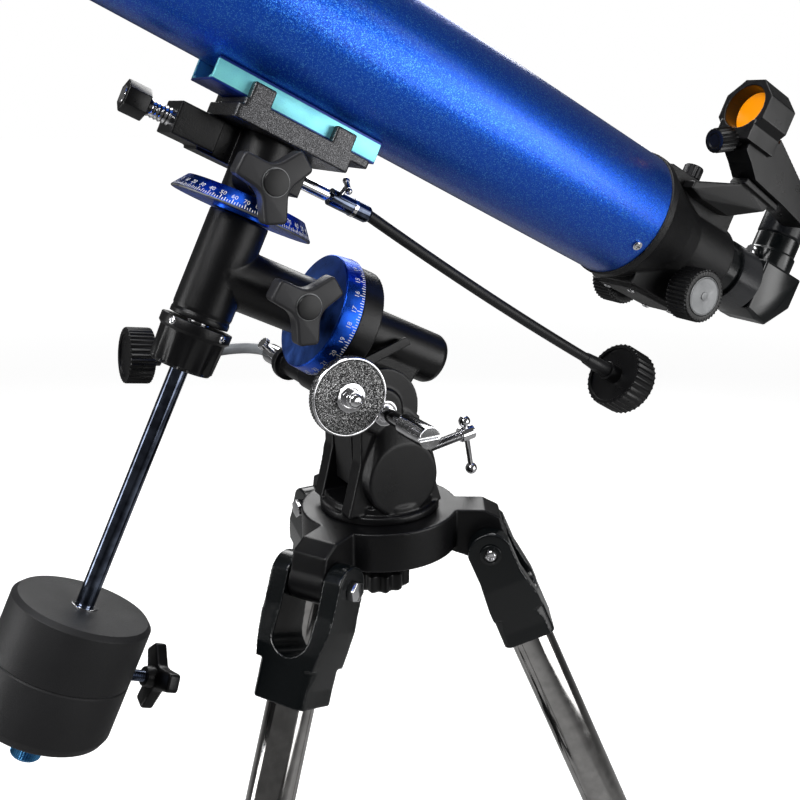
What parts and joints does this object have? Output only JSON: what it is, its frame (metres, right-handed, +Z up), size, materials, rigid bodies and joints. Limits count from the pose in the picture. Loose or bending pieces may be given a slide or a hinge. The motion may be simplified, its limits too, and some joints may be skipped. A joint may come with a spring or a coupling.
{
  "type": "refractor telescope",
  "caption": "Blue refractor telescope on a German equatorial mount with counterweight, slow-motion cables and a folding aluminium tripod with extending legs.",
  "frame": {"origin": "on the floor, on the azimuth axis, midway between the three feet", "axes": "+Z up; -X is the way the front of the tube points, so +X is the eyepiece end; +Y is the far side of the tube from the finder"},
  "size_m": [0.9576, 0.5819, 1.2691],
  "materials": {
    "black_casting": "textured powder coat",
    "gloss_black": "gloss",
    "black_plastic": "satin",
    "black_rubber": "satin",
    "polished_steel": "polished",
    "painted_strap": "satin",
    "dark_chrome": "polished",
    "cast_aluminium": "blasted",
    "brass": "machined",
    "blue_tube": "metallic gloss",
    "blue_circle": "satin",
    "cyan_anodised": "anodised",
    "optical_glass": "coated",
    "amber_glass": "coated"
  },
  "bodies": {
    "base": {"tripod_head": "black_casting", "leg_pivot_bolts": "polished_steel"},
    "azimuth_lock": {"azimuth_knob": "black_plastic"},
    "spreader": {"spreader_hub": "black_plastic", "accessory_tray": "black_plastic"},
    "azimuth_head": {"pedestal": "black_casting", "latitude_bolt": "polished_steel"},
    "latitude_screw": {"latitude_screw": "polished_steel"},
    "polar_head": {"polar_housing": "black_casting", "latitude_pointer": "black_casting", "ra_cable": "black_rubber"},
    "ra_worm": {"ra_worm": "brass", "ra_drive_disc": "cast_aluminium"},
    "ra_slow_knob": {"ra_slow_knob": "black_plastic"},
    "ra_circle": {"ra_setting_circle": "blue_circle"},
    "ra_body": {"polar_shaft": "brass", "dec_housing": "black_casting"},
    "ra_lock": {"ra_lock_knob": "black_plastic"},
    "dec_body": {"dec_shaft": "polished_steel", "dec_worm_block": "black_casting", "dec_worm_plug": "polished_steel", "dec_cable": "black_rubber", "shaft_collar": "black_casting", "counterweight_shaft": "dark_chrome", "saddle": "cast_aluminium"},
    "dec_circle": {"dec_setting_circle": "blue_circle"},
    "dec_lock": {"dec_lock_knob": "black_plastic"},
    "dec_worm": {"dec_worm": "brass"},
    "dec_slow_knob": {"dec_slow_knob": "black_plastic"},
    "counterweight": {"counterweight": "black_casting"},
    "counterweight_knob": {"counterweight_knob": "black_plastic"},
    "shaft_end_screw": {"shaft_end_screw": "blue_circle"},
    "tube_assembly": {"dovetail_bar": "cyan_anodised", "main_tube": "blue_tube", "dew_shield": "blue_tube", "lens_cell": "gloss_black", "objective_lenses": "optical_glass", "focuser_housing": "black_casting", "finder_bracket": "black_plastic", "finder_body": "black_plastic", "finder_lens": "amber_glass", "tube_screws": "polished_steel"},
    "drawtube": {"drawtube": "gloss_black"},
    "focus_knobs": {"focus_knobs": "black_plastic"},
    "focus_lock": {"focus_lock_screw": "black_plastic"},
    "diagonal": {"diagonal_body": "gloss_black"},
    "eyepiece": {"eyepiece": "black_plastic"},
    "finder_switch": {"finder_switch": "black_plastic"},
    "leg_a": {"leg_yoke_a": "black_casting", "upper_leg_a": "polished_steel"},
    "foot_a": {"lower_leg_a": "polished_steel"},
    "strut_a": {"brace_a": "painted_strap"},
    "leg_b": {"leg_yoke_b": "black_casting", "upper_leg_b": "polished_steel"},
    "foot_b": {"lower_leg_b": "polished_steel"},
    "strut_b": {"brace_b": "painted_strap"},
    "leg_c": {"leg_yoke_c": "black_casting", "upper_leg_c": "polished_steel"},
    "foot_c": {"lower_leg_c": "polished_steel"},
    "strut_c": {"brace_c": "painted_strap"}
  },
  "joints": [
    {"name": "azimuth_lock_spin", "type": "hinge", "parent": "base", "child": "azimuth_lock", "pos_m": [0, 0, 0.60495], "axis": [0, 0, 1], "continuous": true},
    {"name": "leg_fold_a", "type": "hinge", "parent": "base", "child": "leg_a", "pos_m": [-0.07015, -0.0405, 0.64145], "axis": [0.5, -0.866, 0], "range_deg": [0, 23.6]},
    {"name": "leg_extend_a", "type": "slide", "parent": "leg_a", "child": "foot_a", "axis": [-0.3467, -0.2002, -0.9164], "range_m": [0, 0.25]},
    {"name": "brace_fold_a", "type": "hinge", "parent": "leg_a", "child": "strut_a", "pos_m": [-0.21088, -0.12175, 0.19955], "axis": [0.5, -0.866, 0], "range_deg": [0, 37.64]},
    {"name": "leg_fold_b", "type": "hinge", "parent": "base", "child": "leg_b", "pos_m": [0.07015, -0.0405, 0.64145], "axis": [0.5, 0.866, 0], "range_deg": [0, 23.6]},
    {"name": "leg_extend_b", "type": "slide", "parent": "leg_b", "child": "foot_b", "axis": [0.3467, -0.2002, -0.9164], "range_m": [0, 0.25]},
    {"name": "brace_fold_b", "type": "hinge", "parent": "leg_b", "child": "strut_b", "pos_m": [0.21088, -0.12175, 0.19955], "axis": [0.5, 0.866, 0], "range_deg": [0, 37.64]},
    {"name": "leg_fold_c", "type": "hinge", "parent": "base", "child": "leg_c", "pos_m": [0, 0.081, 0.64145], "axis": [-1, 0, 0], "range_deg": [0, 23.6]},
    {"name": "leg_extend_c", "type": "slide", "parent": "leg_c", "child": "foot_c", "axis": [0, 0.4003, -0.9164], "range_m": [0, 0.25]},
    {"name": "brace_fold_c", "type": "hinge", "parent": "leg_c", "child": "strut_c", "pos_m": [0, 0.24351, 0.19955], "axis": [-1, 0, 0], "range_deg": [0, 37.64]},
    {"name": "spreader_lift", "type": "slide", "parent": "base", "child": "spreader", "axis": [0, 0, 1], "range_m": [0, 0.10396]},
    {"name": "azimuth", "type": "hinge", "parent": "base", "child": "azimuth_head", "pos_m": [0, 0, 0.66995], "axis": [0, 0, 1], "continuous": true},
    {"name": "latitude", "type": "hinge", "parent": "azimuth_head", "child": "polar_head", "pos_m": [-0.0143, 0, 0.75155], "axis": [0, 1, 0], "range_deg": [-6, 20]},
    {"name": "latitude_screw_travel", "type": "slide", "parent": "azimuth_head", "child": "latitude_screw", "axis": [-0.9836, 0, -0.1805], "range_m": [-0.0062, 0.0196]},
    {"name": "ra_axis", "type": "hinge", "parent": "polar_head", "child": "ra_body", "pos_m": [-0.1147, 0, 0.85175], "axis": [0.8988, 0, -0.4384], "range_deg": [-55, 90]},
    {"name": "ra_worm_spin", "type": "hinge", "parent": "polar_head", "child": "ra_worm", "pos_m": [-0.04727, 0, 0.77102], "axis": [0, 1, 0], "range_deg": [-4950, 8100]},
    {"name": "ra_slow_knob_spin", "type": "hinge", "parent": "polar_head", "child": "ra_slow_knob", "pos_m": [-0.11588, 0.15021, 0.76333], "axis": [-0.9901, 0.0142, 0.1397], "range_deg": [-4950, 8100]},
    {"name": "ra_circle_turn", "type": "hinge", "parent": "polar_head", "child": "ra_circle", "pos_m": [-0.1147, 0, 0.85175], "axis": [0.8988, 0, -0.4384], "continuous": true},
    {"name": "ra_lock_spin", "type": "hinge", "parent": "ra_body", "child": "ra_lock", "pos_m": [-0.07741, -0.044, 0.83468], "axis": [0, -1, 0], "continuous": true},
    {"name": "dec_axis", "type": "hinge", "parent": "ra_body", "child": "dec_body", "pos_m": [-0.1147, 0, 0.85175], "axis": [0.4384, 0, 0.8988], "continuous": true},
    {"name": "dec_circle_turn", "type": "hinge", "parent": "ra_body", "child": "dec_circle", "pos_m": [-0.1147, 0, 0.85175], "axis": [0.4384, 0, 0.8988], "continuous": true},
    {"name": "dec_lock_spin", "type": "hinge", "parent": "dec_body", "child": "dec_lock", "pos_m": [-0.09739, -0.047, 0.91007], "axis": [0, -1, 0], "continuous": true},
    {"name": "dec_worm_spin", "type": "hinge", "parent": "dec_body", "child": "dec_worm", "pos_m": [-0.08138, 0.02, 0.92006], "axis": [0.8988, 0, -0.4384], "continuous": true},
    {"name": "dec_slow_knob_spin", "type": "hinge", "parent": "dec_body", "child": "dec_slow_knob", "pos_m": [0.22899, 0.02, 0.73726], "axis": [0.8652, 0, -0.5015], "continuous": true},
    {"name": "counterweight_slide", "type": "slide", "parent": "dec_body", "child": "counterweight", "axis": [0.4384, 0, 0.8988], "range_m": [0, 0.155]},
    {"name": "counterweight_knob_spin", "type": "hinge", "parent": "counterweight", "child": "counterweight_knob", "pos_m": [-0.17566, 0.00711, 0.57249], "axis": [0.8939, 0.1045, -0.436], "continuous": true},
    {"name": "shaft_end_screw_spin", "type": "hinge", "parent": "dec_body", "child": "shaft_end_screw", "pos_m": [-0.26418, 0, 0.54527], "axis": [0.4384, 0, 0.8988], "continuous": true},
    {"name": "tube_slide", "type": "slide", "parent": "dec_body", "child": "tube_assembly", "axis": [0.8988, 0, -0.4384], "range_m": [-0.02, 0.02]},
    {"name": "focus", "type": "slide", "parent": "tube_assembly", "child": "drawtube", "axis": [0.8988, 0, -0.4384], "range_m": [-0.012, 0.042]},
    {"name": "focus_knob_spin", "type": "hinge", "parent": "tube_assembly", "child": "focus_knobs", "pos_m": [0.25781, 0, 0.81026], "axis": [0, 1, 0], "range_deg": [-100, 345]},
    {"name": "focus_lock_spin", "type": "hinge", "parent": "tube_assembly", "child": "focus_lock", "pos_m": [0.28694, 0, 0.89507], "axis": [0.4384, 0, 0.8988], "continuous": true},
    {"name": "diagonal_turn", "type": "hinge", "parent": "drawtube", "child": "diagonal", "pos_m": [0.37739, 0, 0.7931], "axis": [0.8988, 0, -0.4384], "range_deg": [-135, 0]},
    {"name": "eyepiece_slide", "type": "slide", "parent": "diagonal", "child": "eyepiece", "axis": [0.4384, 0, 0.8988], "range_m": [0, 0.02]},
    {"name": "finder_switch_turn", "type": "hinge", "parent": "tube_assembly", "child": "finder_switch", "pos_m": [0.29064, -0.036, 0.92776], "axis": [-0.9976, 0, -0.0698], "range_deg": [0, 270]}
  ],
  "couplings": [
    {"joint": "brace_fold_a", "follows": "leg_fold_a", "ratio": 1.5738},
    {"joint": "leg_fold_b", "follows": "leg_fold_a", "ratio": 1},
    {"joint": "brace_fold_b", "follows": "leg_fold_a", "ratio": 1.5738},
    {"joint": "leg_fold_c", "follows": "leg_fold_a", "ratio": 1},
    {"joint": "brace_fold_c", "follows": "leg_fold_a", "ratio": 1.5738},
    {"joint": "spreader_lift", "follows": "leg_fold_a", "m_per_rad": 0.25119},
    {"joint": "latitude_screw_travel", "follows": "latitude", "m_per_rad": 0.0547},
    {"joint": "ra_worm_spin", "follows": "ra_axis", "ratio": 90},
    {"joint": "ra_slow_knob_spin", "follows": "ra_axis", "ratio": 90},
    {"joint": "dec_worm_spin", "follows": "dec_axis", "ratio": 48},
    {"joint": "dec_slow_knob_spin", "follows": "dec_axis", "ratio": 48},
    {"joint": "focus_knob_spin", "follows": "focus", "rad_per_m": 140.25}
  ]
}
